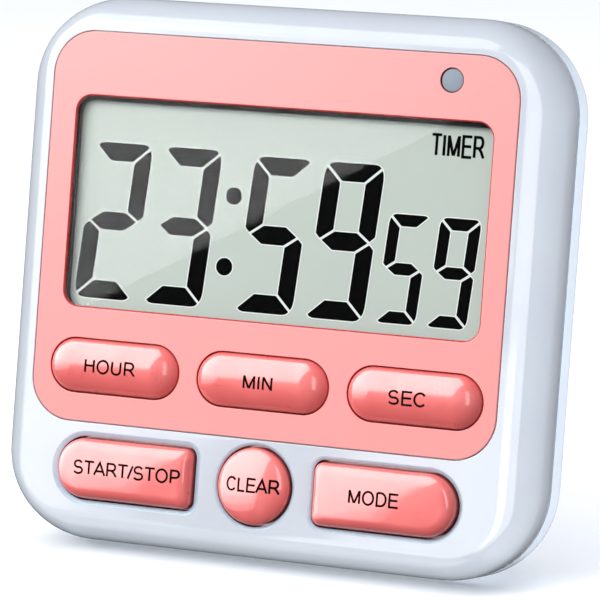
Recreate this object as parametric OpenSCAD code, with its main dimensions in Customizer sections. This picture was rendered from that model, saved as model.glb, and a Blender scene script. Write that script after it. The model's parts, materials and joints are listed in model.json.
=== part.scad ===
// Digital kitchen timer on its folding stand.
// Every part is drawn lying face up: X to the right, Y up the face, Z out of the face, with the face plate's
// front at Z = 0 and the back at Z = -case_d. stand_up() then tips it onto its lower back edge and its stand.

/* [Case] */
// Width of the case
case_w = 85; // [84:0.5:88]
// Height of the case along its face
case_h = 81.8; // [81.5:0.1:84]
// Depth of the case from face to back
case_d = 17; // [17:0.1:18]
// Radius of the case's four corners, seen from the front
case_r = 14.2; // [14:0.1:14.4]
// How far the front rounding reaches in from the side
front_round_in = 5; // [4:0.25:5]
// How deep the front rounding runs down the side
front_round_deep = 7; // [6:0.25:8]
// Radius of the rounding at the back
back_round = 3.2; // [3:0.1:3.4]
// Depth of the line where the two shells meet
seam_d = 10.5; // [10.3:0.1:11]
// Wall thickness of the shells
wall = 1.7; // [1.5:0.1:1.8]
// How far the timer leans back when it stands, in degrees
lean = 10.6; // [10:0.1:11.5]

/* [Face plate] */
// Width of the coloured plate
plate_w = 74.6; // [74:0.2:75]
// Height of the coloured plate
plate_h = 58.4; // [58:0.2:59]
// Corner radius of the plate
plate_r = 6.5; // [5.5:0.5:7]
// Height of the plate's centre above the case's centre
plate_up = 6.45; // [6.3:0.05:6.6]
// Thickness of the plate
plate_t = 1.2; // [1.1:0.05:1.3]

/* [Display] */
// Width of the window
window_w = 66.5; // [66:0.1:66.8]
// Height of the window
window_h = 31.7; // [31:0.1:32]
// Height of the window's centre above the case's centre
window_up = 10.25; // [10:0.05:10.4]
// Depth of the display glass behind the plate's front
display_d = 2.2; // [2.1:0.05:2.3]

/* [Buttons] */
// Width of an oval button
oval_w = 21.2; // [20.5:0.1:21.6]
// Height of an oval button
oval_h = 8.2; // [7.8:0.1:8.4]
// Distance between neighbouring oval buttons
oval_pitch = 24.1; // [24:0.1:24.3]
// Height of the oval row, from the case's centre
oval_row = -14.45; // [-14.6:0.05:-14.3]
// Width of the start and mode buttons
wide_w = 22.6; // [22:0.1:22.8]
// Height of the start and mode buttons
wide_h = 9.5; // [9.2:0.1:9.7]
// Distance of the start and mode buttons' centres from the middle
wide_x = 20.9; // [20.8:0.1:21.1]
// Radius of the round clear button
clear_r = 5.8; // [5.5:0.1:6]
// Height of the lower row, from the case's centre
lower_row = -29.7; // [-29.8:0.05:-29.6]
// How far a button stands out of the face
button_rise = 1.9; // [1.5:0.1:2.2]
// How far a button travels when it is pressed
button_travel = 0.9; // [0.6:0.1:0.9]

/* [Stand] */
// Width of the folding stand
stand_w = 24; // [20:0.5:24]
// Height of the stand's hinge above the case's centre
hinge_up = 19; // [18:0.5:19]

/* [Hidden] */
$fn = 64;

case_white = [0.93, 0.95, 0.98];
shell_grey = [0.82, 0.85, 0.90];
plate_pink = [0.98, 0.69, 0.68];
button_pink = [0.96, 0.55, 0.55];

// Shared fits and depths
gap = 0.15;
slip = 0.05;
seam_half = 0.15;
lip_in = 1.9;
lip_t = 1.0;
lip_root = 1.5;
lip_rise = 1.2;
board_z = -7.0;
board_t = 1.0;
board_back = board_z - board_t;
back_in = -(case_d - 1.6);

// Display stack
window_x = 0.1;
window_r = 2.4;
lens_z = -0.4;
lens_over = 1.9;
glass_w = 70.8;
glass_top = window_up + window_h / 2 + 1.1;
glass_low = window_up - window_h / 2 - 3.6;
ledge_low = glass_low + 3;
film_t = 0.2;
glass_t = 1.1;
front_glass_z = -display_d - film_t;
rear_glass_z = front_glass_z - glass_t;
reflector_z = rear_glass_z - glass_t;
holder_z = reflector_z - film_t;

// Buttons
oval_x = 0.2;
wide_corner = 1.4;
wide_round_in = 1.25;
wide_round_deep = 1.3;
flange_over = 0.9;
flange_z = -display_d - 0.15;
flange_t = 0.9;
stem_end = -4.6;
bevel_w = 0.8;
bevel_d = 0.6;
dome_top = stem_end - button_travel - 0.1;
keypad_t = 0.7;

// Alert light
alert_at = [26.4, 31.6];
alert_r = 1.72;

// Battery trough, an AAA cell lying across the top
cell_r = 5.25;
cell_len = 44.5;
cell_nub = 0.8;
cell_at = [32.1, -10.1];
cell_tip_x = 20.2;
cell_end_x = cell_tip_x - cell_len;
trough_r = cell_r + 0.25;
trough_wall = 1.1;
trough_x0 = -29.8;
trough_x1 = 20.6;
door_t = 1.3;
door_x0 = trough_x0 - 2;
door_x1 = trough_x1 + 2;
door_low = 24.8;
door_top = 38.4;
door_gap = 0.2;

// Stand, folded flat in its pocket before it is opened
hinge_z = -(case_d - 1.6);
barrel_r = 1.35;
trunnion_r = 1.0;
pocket_w = stand_w + 0.6;
pocket_z = hinge_z + barrel_r + 0.15;
pocket_top = hinge_up + 3.3;
pocket_wall = 1.4;
land_cut = 0.12;
foot_cut = 0.15;
heel_up = 2.5;
heel_in = 0.5;
floor_z = -((case_h / 2 - back_round) * cos(lean) + (case_d - back_round) * sin(lean) + back_round) + land_cut;
hinge_h = hinge_up * cos(lean) + hinge_z * sin(lean) - floor_z;
stand_inset = 0.2;
toe_y = -(case_h / 2 - back_round - stand_inset);
toe_z = -(case_d - back_round - stand_inset);
tip_z = hinge_z + barrel_r;
tip_y = toe_y - sqrt(back_round * back_round - (tip_z - toe_z) * (tip_z - toe_z));
foot_reach = norm([hinge_up - tip_y, barrel_r]);
foot_angle = atan(barrel_r / (hinge_up - tip_y));
stand_open = lean + acos((hinge_h + foot_cut) / foot_reach) + foot_angle;

// The origin is under the middle of the whole timer: its rearmost point is the opened stand's rounded tip and its
// foremost point is the lower rim of the start and mode buttons
swing = stand_open - lean - atan((toe_z - hinge_z) / (hinge_up - toe_y));
back_y = hinge_up * sin(lean) - hinge_z * cos(lean) + norm([hinge_up - toe_y, toe_z - hinge_z]) * sin(swing)
    + back_round;
front_y = (lower_row - wide_h / 2 + wide_round_in) * sin(lean) - (button_rise - wide_round_deep) * cos(lean)
    - norm([wide_round_in * sin(lean), wide_round_deep * cos(lean)]);
shift_y = -(back_y + front_y) / 2;

// Screws, magnets, buzzer and switches
post_r = 2.3;
board_post_r = 1.6;
pilot_r = 1.02;
screw_r = 1.0;
case_posts = [[-35.2, -34.4], [35.2, -34.4], [-34.4, 33.4], [34.4, 33.4]];
board_posts = [[-36.6, -22], [36.6, -22], [-37.6, 12], [37.6, 12]];
counter_z = -12.6;
magnet_r = 6;
magnet_t = 2.2;
magnet_at = [28, 10];
buzzer_at = [-27, -13];
buzzer_r = 10;
buzzer_z = -case_d + 2.35;
buzzer_t = 0.25;
switch_x = 27;
power_y = -6;
sound_y = -19;
switch_w = 8.6;
switch_h = 3.6;
switch_t = 4.2;
knob_w = 3.0;
knob_h = 2.4;
power_travel = 2.0;
sound_travel = 4.0;

// ---- Shared shapes ----

module stand_up() {
    translate([0, shift_y, -floor_z])
        rotate([90 - lean, 0, 0])
            children();
}

module rounded(w, h, r) {
    square([w - 2 * r, h], center = true);
    square([w, h - 2 * r], center = true);
    for (sx = [-1, 1], sy = [-1, 1])
        translate([sx * (w / 2 - r), sy * (h / 2 - r)])
            circle(r);
}

// A rounded slab from depth z0 down to depth z1
module slab(w, h, r, z0, z1) {
    translate([0, 0, z1])
        linear_extrude(z0 - z1)
            rounded(w, h, r);
}

module box(x0, x1, y0, y1, z0, z1) {
    translate([x0, y0, z1])
        cube([x1 - x0, y1 - y0, z0 - z1]);
}

module rod(x, y, r, z0, z1) {
    translate([x, y, z1])
        cylinder(h = z0 - z1, r = r);
}

// A round bar along X
module bar_x(x0, x1, y, z, r) {
    translate([x0, y, z])
        rotate([0, 90, 0])
            cylinder(h = x1 - x0, r = r);
}

// A quarter of an ellipse as [inset, z] points, from the rim of the top face down to the side
function quarter(reach, deep, top, steps) =
    [for (i = [0:steps]) [reach * (1 - sin(90 * i / steps)), top - deep * (1 - cos(90 * i / steps))]];

// A rounded rectangle whose edge follows a profile of [inset, z] points from top to bottom. Its two left
// corners have one radius and its two right corners may have a smaller one.
module profiled(w, h, r_left, r_right, edge) {
    top = edge[0][1];
    low = edge[len(edge) - 1][1];
    span_x = w - r_left - r_right;
    for (q = [0:3]) {
        r = (q == 0 || q == 3) ? r_right : r_left;
        x = (q == 0 || q == 3) ? w / 2 - r : r - w / 2;
        y = (q < 2 ? 1 : -1) * (h / 2 - r);
        translate([x, y, 0])
            rotate([0, 0, 90 * q])
                rotate_extrude(angle = 90)
                    turned(r, edge);
    }
    for (side = [0, 180]) {
        r = side == 0 ? r_right : r_left;
        if (h - 2 * r > 0.01)
            translate([side == 0 ? w / 2 - r : r - w / 2, (side == 0 ? 1 : -1) * (h / 2 - r), 0])
                rotate([90, 0, side])
                    linear_extrude(h - 2 * r)
                        turned(r, edge);
        translate([side == 0 ? r_left - w / 2 : w / 2 - r_right, (side == 0 ? 1 : -1) * (h / 2 - r_right), 0])
            rotate([90, 0, 90 + side])
                linear_extrude(span_x)
                    turned(r_right, edge);
    }
    if (h - 2 * r_right > 0.01)
        translate([r_left - w / 2, r_right - h / 2, low])
            cube([span_x, h - 2 * r_right, top - low]);
}

// Half of a section through a profiled piece, from its corner's centre line out to its edge
module turned(r, edge) {
    polygon(concat([[0, edge[0][1]]], [for (p = edge) [r - p[0], p[1]]], [[0, edge[len(edge) - 1][1]]]));
}

function unit(v) = v / norm(v);

function cubic(a, b, c, d, t) =
    a * pow(1 - t, 3) + 3 * b * t * pow(1 - t, 2) + 3 * c * t * t * (1 - t) + d * pow(t, 3);

// A round wire swept along a path that never runs along X
module tube(path, r, sides) {
    last = len(path) - 1;
    points = [
        for (i = [0:last])
            let (along = unit(path[min(i + 1, last)] - path[max(i - 1, 0)]))
            let (out = unit(cross(along, [1, 0, 0])))
            let (over = cross(along, out))
            for (j = [0:sides - 1])
                path[i] + r * (cos(360 * j / sides) * out + sin(360 * j / sides) * over)
    ];
    skin = [
        for (i = [0:last - 1], j = [0:sides - 1])
            let (k = (j + 1) % sides)
            [i * sides + j, (i + 1) * sides + j, (i + 1) * sides + k, i * sides + k]
    ];
    start = [for (j = [0:sides - 1]) j];
    end = [for (j = [sides - 1:-1:0]) last * sides + j];
    polyhedron(points, concat(skin, [start], [end]), convexity = 8);
}

// A wire that bends smoothly between its two ends
module wire(a, b, c, d, r) {
    tube([for (i = [0:10]) cubic(a, b, c, d, i / 10)], r, 8);
}

// ---- Case ----

front_edge = concat(quarter(front_round_in, front_round_deep, 0, 9), [[0, -seam_d + seam_half]]);

// The rear shell's edge, from its seam round to the flat back
function back_edge(top, lift) = concat([[0, top]], [
    for (i = [0:6])
        [back_round * (1 - cos(15 * i)), lift - (case_d - back_round) - back_round * sin(15 * i)]
]);

module oval_places() {
    for (i = [-1:1])
        translate([oval_x + i * oval_pitch, oval_row, 0])
            children();
}

module start_place() {
    translate([-wide_x, lower_row, 0])
        children();
}

module mode_place() {
    translate([wide_x, lower_row, 0])
        rotate([0, 0, 180])
            children();
}

module clear_place() {
    translate([0.1, lower_row, 0])
        children();
}

// The start button's shape: its left end is round and its right end is square
module wide_profiled(grow, edge) {
    profiled(wide_w + 2 * grow, wide_h + 2 * grow, wide_h / 2 + grow, wide_corner + grow, edge);
}

module button_holes() {
    bevel = [[0, 0.2], [0, 0], [bevel_w, -bevel_d], [bevel_w, -wall - 1]];
    oval_places()
        slab(oval_w + 4 * gap, oval_h + 4 * gap, oval_h / 2 + 2 * gap - 0.001, 1, -display_d - 1);
    start_place()
        wide_profiled(gap + bevel_w, bevel);
    mode_place()
        wide_profiled(gap + bevel_w, bevel);
    clear_place() {
        rod(0, 0, clear_r + gap, 1, -display_d - 1);
        translate([0, 0, -bevel_d])
            cylinder(h = bevel_d + 0.001, r1 = clear_r + gap, r2 = clear_r + gap + bevel_w * 0.75);
    }
}

module front_case() {
    color(case_white)
        stand_up()
            difference() {
                union() {
                    difference() {
                        profiled(case_w, case_h, case_r, case_r, front_edge);
                        slab(case_w - 6.4, case_h - 6.4, case_r - 3.2, -display_d, -5);
                        slab(case_w - 2 * wall, case_h - 2 * wall, case_r - wall, -4.6, -seam_d - 1);
                    }
                    for (p = case_posts)
                        rod(p[0], p[1], post_r, -1.8, -seam_d + seam_half);
                    for (p = board_posts)
                        rod(p[0], p[1], board_post_r, -1.8, board_z);
                }
                translate([0, plate_up, 0])
                    slab(plate_w + 2 * gap, plate_h + 2 * gap, plate_r + gap, 1, -plate_t);
                translate([window_x, window_up, 0])
                    slab(window_w + 2.1, window_h + 2.1, window_r + 1, 0, -display_d - 1);
                button_holes();
                rod(alert_at[0], alert_at[1], alert_r + gap, 1, -display_d - 1);
                for (p = case_posts)
                    rod(p[0], p[1], pilot_r, -4.5, -seam_d - 1);
                for (p = board_posts)
                    rod(p[0], p[1], pilot_r, -2.8, board_z - 1);
            }
}

// The closed outside of the rear shell, drawn in by a skin
module rear_outside(inset, top) {
    r = case_r - inset;
    profiled(case_w - 2 * inset, case_h - 2 * inset, r, r, back_edge(top, inset));
}

module trough_outside() {
    bar_x(trough_x0 - trough_wall, trough_x1 + trough_wall, cell_at[0], cell_at[1], trough_r + trough_wall);
    box(trough_x0 - trough_wall, trough_x1 + trough_wall, cell_at[0] - trough_r - trough_wall,
        cell_at[0] + trough_r + trough_wall, cell_at[1], back_in - 0.2);
}

module trough_hollow() {
    bar_x(trough_x0, trough_x1, cell_at[0], cell_at[1], trough_r);
    box(trough_x0, trough_x1, cell_at[0] - trough_r, cell_at[0] + trough_r, cell_at[1], -case_d - 1);
}

module sound_holes() {
    rod(buzzer_at[0], buzzer_at[1], 0.7, -case_d + 3, -case_d - 1);
    for (turn = [0:60:300])
        rod(buzzer_at[0] + 3.6 * cos(turn), buzzer_at[1] + 3.6 * sin(turn), 0.7, -case_d + 3, -case_d - 1);
}

module knob_slot(y, travel) {
    box(switch_x - travel / 2 - knob_w / 2 - 0.2, switch_x + travel / 2 + knob_w / 2 + 0.2,
        y - knob_h / 2 - 0.2, y + knob_h / 2 + 0.2, back_in + 1, -case_d - 1);
    box(switch_x - 5.5, switch_x + 5.5, y - 2.3, y + 2.3, -case_d + 0.5, -case_d - 1);
}

module rear_case() {
    pocket_side = pocket_w / 2 + pocket_wall;
    color(shell_grey)
        stand_up()
            difference() {
                union() {
                    difference() {
                        rear_outside(0, -seam_d - seam_half);
                        slab(case_w - 3.4, case_h - 3.4, case_r - 1.7, -seam_d + 1, -case_d + 4);
                        slab(case_w - 6, case_h - 6, case_r - 3, -case_d + 5, back_in);
                    }
                    difference() {
                        union() {
                            slab(case_w - 2 * lip_in, case_h - 2 * lip_in, case_r - lip_in,
                                 -seam_d + lip_rise, -seam_d - 2);
                            slab(case_w - 2 * lip_root, case_h - 2 * lip_root, case_r - lip_root,
                                 -seam_d - seam_half, -seam_d - 2);
                        }
                        slab(case_w - 2 * (lip_in + lip_t), case_h - 2 * (lip_in + lip_t),
                             case_r - lip_in - lip_t, 0, -case_d);
                        for (p = case_posts)
                            rod(p[0], p[1], post_r + 0.3, 0, -seam_d - seam_half);
                    }
                    trough_outside();
                    box(-pocket_side, pocket_side, -case_h / 2 + 1.5, pocket_top + pocket_wall,
                        pocket_z + pocket_wall, back_in - 0.2);
                    for (p = case_posts)
                        rod(p[0], p[1], post_r + 0.7, -seam_d - seam_half, back_in - 0.2);
                    for (side = [-1, 1])
                        rod(side * magnet_at[0], magnet_at[1], magnet_r + 1.2,
                            -case_d + magnet_t + 1.2, back_in - 0.2);
                    difference() {
                        rod(buzzer_at[0], buzzer_at[1], buzzer_r + 1, buzzer_z + 1.2, back_in - 0.2);
                        rod(buzzer_at[0], buzzer_at[1], buzzer_r + slip, buzzer_z + 2, buzzer_z - buzzer_t);
                        rod(buzzer_at[0], buzzer_at[1], buzzer_r - 0.8, 0, back_in);
                    }
                }
                trough_hollow();
                box(door_x0 - door_gap, door_x1 + door_gap, door_low - door_gap, door_top + door_gap,
                    -case_d + door_t, -case_d - 1);
                for (x = [trough_x0 + 0.3, trough_x1 - 0.7])
                    box(x - 0.35, x + 0.75, 25, 28, -11, -13);
                box(-pocket_w / 2, pocket_w / 2, -case_h, pocket_top, pocket_z, -case_d - 1);
                bar_x(-pocket_side - 1, pocket_side + 1, hinge_up, hinge_z, trunnion_r + slip);
                for (p = case_posts) {
                    rod(p[0], p[1], screw_r + 0.2, 0, -case_d - 1);
                    rod(p[0], p[1], 2.1, counter_z, -case_d - 1);
                }
                for (side = [-1, 1])
                    rod(side * magnet_at[0], magnet_at[1], magnet_r + slip,
                        -case_d + magnet_t + 0.05, -case_d - 1);
                sound_holes();
                knob_slot(power_y, power_travel);
                knob_slot(sound_y, sound_travel);
                floor_cutter();
            }
}

// Everything below the surface that the timer stands on
module floor_cutter() {
    rotate([lean - 90, 0, 0])
        translate([-60, -60, floor_z - 10])
            cube([120, 120, 10]);
}

// ---- Face ----

module face_plate() {
    color(plate_pink)
        stand_up()
            difference() {
                translate([0, plate_up, 0])
                    slab(plate_w, plate_h, plate_r, 0, -plate_t);
                translate([window_x, window_up, 0]) {
                    slab(window_w, window_h, window_r, 1, -plate_t - 1);
                    slab(window_w + 2 * (lens_over + gap), window_h + 2 * (lens_over + gap),
                         window_r + lens_over, lens_z, -plate_t - 1);
                }
                oval_places()
                    slab(oval_w + 2 * gap, oval_h + 2 * gap, oval_h / 2 + gap - 0.001, 1, -plate_t - 1);
                rod(alert_at[0], alert_at[1], alert_r + 0.1, 1, -plate_t - 1);
            }
}

module display_lens() {
    color([0.85, 0.92, 0.92, 0.4])
        stand_up()
            translate([window_x, window_up, 0])
                slab(window_w + 2 * lens_over, window_h + 2 * lens_over, window_r + lens_over,
                     lens_z, -plate_t);
}

module display_gasket() {
    color([0.07, 0.07, 0.07])
        stand_up()
            difference() {
                translate([window_x, window_up, 0])
                    slab(window_w + 1.9, window_h + 1.9, window_r + 0.9, -plate_t, -display_d);
                translate([window_x + 0.12, window_up - 0.62, 0])
                    slab(window_w + 0.3, window_h - 0.7, 2, 0, -display_d - 1);
            }
}

module glass_sheet(w, low, z, t) {
    stand_up()
        box(-w / 2, w / 2, low, glass_top, z, z - t);
}

module lcd_polarizer() {
    color([0.78, 0.82, 0.78])
        glass_sheet(glass_w - 0.6, glass_low + 0.4, -display_d, film_t);
}

module lcd_front_glass() {
    color([0.75, 0.85, 0.85, 0.5])
        glass_sheet(glass_w, glass_low, front_glass_z, glass_t);
}

module lcd_rear_glass() {
    color([0.75, 0.85, 0.85, 0.5])
        glass_sheet(glass_w, ledge_low, rear_glass_z, glass_t);
}

module lcd_reflector() {
    color([0.75, 0.75, 0.75])
        glass_sheet(glass_w - 1, ledge_low, reflector_z, film_t);
}

module lcd_holder() {
    color([0.95, 0.95, 0.95])
        stand_up()
            difference() {
                box(-35.8, 35.8, glass_low - 0.5, 26, holder_z, board_z);
                box(-31.5, 31.5, ledge_low + 1, 23.4, 0, board_z - 1);
                box(-30.2, 30.2, glass_low + 0.2, ledge_low - 0.4, 0, board_z - 1);
            }
}

module zebra_strip() {
    color([0.35, 0.35, 0.38])
        stand_up()
            box(-30, 30, glass_low + 0.3, ledge_low - 0.5, rear_glass_z, board_z);
}

module alert_lens() {
    color([0.55, 0.6, 0.65])
        stand_up() {
            rod(alert_at[0], alert_at[1], alert_r, -0.1, -display_d - 0.1);
            rod(alert_at[0], alert_at[1], alert_r + 0.9, -display_d - 0.05, -display_d - 0.8);
        }
}

module alert_led() {
    color([0.95, 0.35, 0.3])
        stand_up() {
            rod(alert_at[0], alert_at[1], 1.5, -4.6, board_z + 0.5);
            translate([alert_at[0], alert_at[1], -4.6])
                sphere(1.45);
            rod(alert_at[0], alert_at[1], 1.9, board_z + 0.9, board_z);
        }
}

// ---- Buttons ----

module oval_button(place) {
    edge = concat(quarter(3.3, 1.6, button_rise, 6), [[0, flange_z]]);
    color(button_pink)
        stand_up()
            translate([oval_x + place * oval_pitch, oval_row, 0]) {
                profiled(oval_w, oval_h, oval_h / 2, oval_h / 2, edge);
                slab(oval_w + 2 * flange_over, oval_h + 2 * flange_over, oval_h / 2,
                     flange_z, flange_z - flange_t);
                slab(8, 3, 1.4, flange_z - flange_t, stem_end);
            }
}

module hour_button() {
    oval_button(-1);
}

module minute_button() {
    oval_button(0);
}

module second_button() {
    oval_button(1);
}

module wide_button() {
    edge = concat(quarter(wide_round_in, wide_round_deep, button_rise, 5), [[0, flange_z]]);
    wide_profiled(0, edge);
    wide_profiled(flange_over, [[0, flange_z], [0, flange_z - flange_t]]);
    slab(8, 3, 1.4, flange_z - flange_t, stem_end);
}

module start_stop_button() {
    color(button_pink)
        stand_up()
            start_place()
                wide_button();
}

module mode_button() {
    color(button_pink)
        stand_up()
            mode_place()
                wide_button();
}

module clear_button() {
    edge = concat(quarter(4.2, 1.6, button_rise, 6), [[0, flange_z]]);
    color(button_pink)
        stand_up()
            clear_place() {
                rotate_extrude()
                    polygon(concat([[0, button_rise]], [for (p = edge) [clear_r - p[0], p[1]]], [[0, flange_z]]));
                rod(0, 0, clear_r + flange_over, flange_z, flange_z - flange_t);
                slab(6, 3, 1.4, flange_z - flange_t, stem_end);
            }
}

// One contact under each button
button_centres = [
    [oval_x - oval_pitch, oval_row], [oval_x, oval_row], [oval_x + oval_pitch, oval_row],
    [-wide_x, lower_row], [0.1, lower_row], [wide_x, lower_row]
];

module rubber_keypad() {
    color([0.8, 0.8, 0.78])
        stand_up()
            difference() {
                union() {
                    box(-34.2, 34.2, -30.4, -10.6, board_z + keypad_t, board_z);
                    box(-31.2, 31.2, -36.6, -30, board_z + keypad_t, board_z);
                    for (c = button_centres)
                        rod(c[0], c[1], 2.6, dome_top, board_z);
                }
                for (c = button_centres)
                    rod(c[0], c[1], 1.8, board_z + 0.8, board_z - 1);
            }
}

module keypad_contacts() {
    color([0.12, 0.12, 0.12])
        stand_up()
            for (c = button_centres)
                rod(c[0], c[1], 1.6, board_z + 0.8, board_z + 0.4);
}

// ---- Board ----

module circuit_board() {
    color([0.1, 0.45, 0.25])
        stand_up()
            difference() {
                union() {
                    box(-39.2, 39.2, -24.2, 24.6, board_z, board_back);
                    box(-34, 34, -30.6, -24.2, board_z, board_back);
                    box(-31.2, 31.2, -37.2, -30.6, board_z, board_back);
                    box(22.8, 30.8, 24.6, 35.4, board_z, board_back);
                }
                for (p = board_posts)
                    rod(p[0], p[1], screw_r + 0.2, 0, -case_d);
            }
}

module controller_chip() {
    color([0.08, 0.08, 0.08])
        stand_up()
            translate([-6, 6, board_back])
                mirror([0, 0, 1])
                    rotate_extrude()
                        polygon([[0, 0], [5, 0], [4.8, 0.5], [4, 0.95], [2.6, 1.2], [0, 1.3]]);
}

module quartz_crystal() {
    color([0.8, 0.8, 0.82])
        stand_up()
            bar_x(4, 10, 15, board_back - 1.02, 1);
}

module boost_coil() {
    color([0.15, 0.15, 0.17])
        stand_up()
            rod(-6, -12, 2.2, board_back, board_back - 3.6);
}

module small_capacitors() {
    color([0.7, 0.6, 0.45])
        stand_up()
            for (i = [0:4])
                box(6 + 3.2 * i, 8 + 3.2 * i, 6.4, 7.6, board_back, board_back - 0.9);
}

// ---- Buzzer ----

module buzzer_plate() {
    color([0.85, 0.7, 0.35])
        stand_up()
            rod(buzzer_at[0], buzzer_at[1], buzzer_r, buzzer_z, buzzer_z - buzzer_t);
}

module buzzer_ceramic() {
    color([0.92, 0.92, 0.9])
        stand_up()
            rod(buzzer_at[0], buzzer_at[1], 7.2, buzzer_z + 0.25, buzzer_z);
}

module buzzer_leads() {
    color([0.75, 0.1, 0.1])
        stand_up()
            for (side = [-1, 1])
                wire([buzzer_at[0] + 2 * side, buzzer_at[1] + 3 * side, buzzer_z + 0.7],
                     [buzzer_at[0] + 5 + 2 * side, buzzer_at[1] + 9, buzzer_z + 3],
                     [buzzer_at[0] + 11 + 2 * side, buzzer_at[1] + 13, buzzer_z + 1],
                     [buzzer_at[0] + 11 + 2 * side, buzzer_at[1] + 13, board_back - 0.1], 0.45);
}

// ---- Battery ----

module battery_cell() {
    color([0.15, 0.3, 0.6])
        stand_up() {
            bar_x(cell_end_x, cell_tip_x - cell_nub, cell_at[0], cell_at[1], cell_r);
            bar_x(cell_tip_x - cell_nub, cell_tip_x, cell_at[0], cell_at[1], 1.9);
        }
}

module spring_coil() {
    turns = 4;
    steps = 14 * turns;
    x0 = trough_x0 + 0.7;
    x1 = cell_end_x - 0.32;
    tube([
        for (i = [0:steps])
            let (r = 3.6 - 1.4 * i / steps)
            [x0 + (x1 - x0) * i / steps, r * cos(360 * turns * i / steps), r * sin(360 * turns * i / steps)]
    ], 0.3, 6);
}

module contact_tab(x) {
    box(x, x + 0.4, 24.4, 28.4, -11.2, -12.8);
}

module battery_spring() {
    color([0.8, 0.8, 0.82])
        stand_up() {
            box(trough_x0 + 0.05, trough_x0 + 0.45, 28.2, 36, -6.2, -14);
            contact_tab(trough_x0 + 0.05);
            translate([0, cell_at[0], cell_at[1]])
                spring_coil();
        }
}

module battery_contact() {
    color([0.8, 0.8, 0.82])
        stand_up() {
            box(trough_x1 - 0.4, trough_x1, 28.2, 36, -6.2, -14);
            contact_tab(trough_x1 - 0.4);
        }
}

module battery_leads() {
    color([0.12, 0.12, 0.12])
        stand_up() {
            wire([trough_x0 + 0.25, 24.2, -12], [trough_x0 + 0.5, 21, -12.5],
                 [trough_x0 + 6, 20, -12], [trough_x0 + 6.5, 20, board_back - 0.1], 0.5);
            wire([trough_x1 - 0.2, 24.2, -12], [trough_x1 - 0.5, 21, -12.5],
                 [trough_x1 - 5, 20, -12], [trough_x1 - 5.5, 20, board_back - 0.1], 0.5);
        }
}

module battery_door() {
    color(shell_grey)
        stand_up()
            difference() {
                intersection() {
                    rear_outside(0, -seam_d);
                    box(door_x0, door_x1, door_low, door_top, -case_d + door_t - 0.05, -case_d - 1);
                }
                for (i = [0:4])
                    box(door_x1 - 9 + i * 1.4, door_x1 - 8.4 + i * 1.4, 28, 35.4, -case_d + 0.3, -case_d - 1);
            }
}

// ---- Back ----

module magnet(side) {
    color([0.3, 0.3, 0.32])
        stand_up()
            rod(side * magnet_at[0], magnet_at[1], magnet_r, -case_d + magnet_t, -case_d);
}

module left_magnet() {
    magnet(-1);
}

module right_magnet() {
    magnet(1);
}

module switch_body(y) {
    color([0.75, 0.75, 0.78])
        stand_up()
            difference() {
                box(switch_x - switch_w / 2, switch_x + switch_w / 2, y - switch_h / 2, y + switch_h / 2,
                    board_back, board_back - switch_t);
                box(switch_x - 3, switch_x + 3, y - 0.9, y + 0.9, board_back - 1.6, board_back - switch_t - 1);
            }
}

module switch_knob(y, travel) {
    x = switch_x - travel / 2;
    color([0.2, 0.2, 0.22])
        stand_up() {
            box(x - knob_w / 2, x + knob_w / 2, y - knob_h / 2, y + knob_h / 2, back_in + 0.1, -case_d + 0.1);
            box(x - 5, x + 5, y - 2.2, y + 2.2, back_in + 0.7, back_in + 0.1);
            box(x - 0.8, x + 0.8, y - 0.7, y + 0.7, board_back - 2, back_in + 0.7);
        }
}

module power_switch() {
    switch_body(power_y);
}

module sound_switch() {
    switch_body(sound_y);
}

module power_slider() {
    switch_knob(power_y, power_travel);
}

module sound_slider() {
    switch_knob(sound_y, sound_travel);
}

module folded_stand() {
    intersection() {
        box(-stand_w / 2, stand_w / 2, -case_h / 2, hinge_up, hinge_z + barrel_r, hinge_z - barrel_r);
        rear_outside(stand_inset, -seam_d);
    }
    bar_x(-stand_w / 2, stand_w / 2, hinge_up, hinge_z, barrel_r);
    bar_x(-pocket_w / 2 - pocket_wall, pocket_w / 2 + pocket_wall, hinge_up, hinge_z, trunnion_r);
    box(-stand_w / 2, stand_w / 2, hinge_up, hinge_up + heel_up, hinge_z + heel_in, hinge_z - barrel_r);
}

module kickstand() {
    color(shell_grey)
        stand_up()
            difference() {
                translate([0, hinge_up, hinge_z])
                    rotate([stand_open, 0, 0])
                        translate([0, -hinge_up, -hinge_z])
                            difference() {
                                folded_stand();
                                box(-5, 5, -34, -8, -case_d + 0.9, -case_d - 1);
                            }
                floor_cutter();
            }
}

// ---- Screws ----

module screw(x, y, head_z, head_r, head_t, length) {
    difference() {
        union() {
            rod(x, y, head_r, head_z, head_z - head_t);
            rod(x, y, screw_r, head_z + length, head_z);
        }
        for (turn = [0, 90])
            translate([x, y, head_z - head_t])
                rotate([0, 0, turn])
                    cube([head_r * 1.3, 0.5, 1.2], center = true);
    }
}

module case_screws() {
    color([0.6, 0.6, 0.62])
        stand_up()
            for (p = case_posts)
                screw(p[0], p[1], counter_z, 1.9, 1.4, 7.5);
}

module board_screws() {
    color([0.6, 0.6, 0.62])
        stand_up()
            for (p = board_posts)
                screw(p[0], p[1], board_back, 1.8, 1.1, 4.5);
}

front_case();
rear_case();
face_plate();
display_lens();
display_gasket();
lcd_polarizer();
lcd_front_glass();
lcd_rear_glass();
lcd_reflector();
lcd_holder();
zebra_strip();
circuit_board();
controller_chip();
quartz_crystal();
boost_coil();
small_capacitors();
alert_led();
alert_lens();
hour_button();
minute_button();
second_button();
start_stop_button();
clear_button();
mode_button();
rubber_keypad();
keypad_contacts();
buzzer_plate();
buzzer_ceramic();
buzzer_leads();
battery_cell();
battery_spring();
battery_contact();
battery_leads();
battery_door();
left_magnet();
right_magnet();
power_switch();
power_slider();
sound_switch();
sound_slider();
kickstand();
case_screws();
board_screws();
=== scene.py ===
import json
import math

import bmesh
import bpy
from mathutils import Matrix, Vector
from mathutils.geometry import tessellate_polygon

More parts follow.
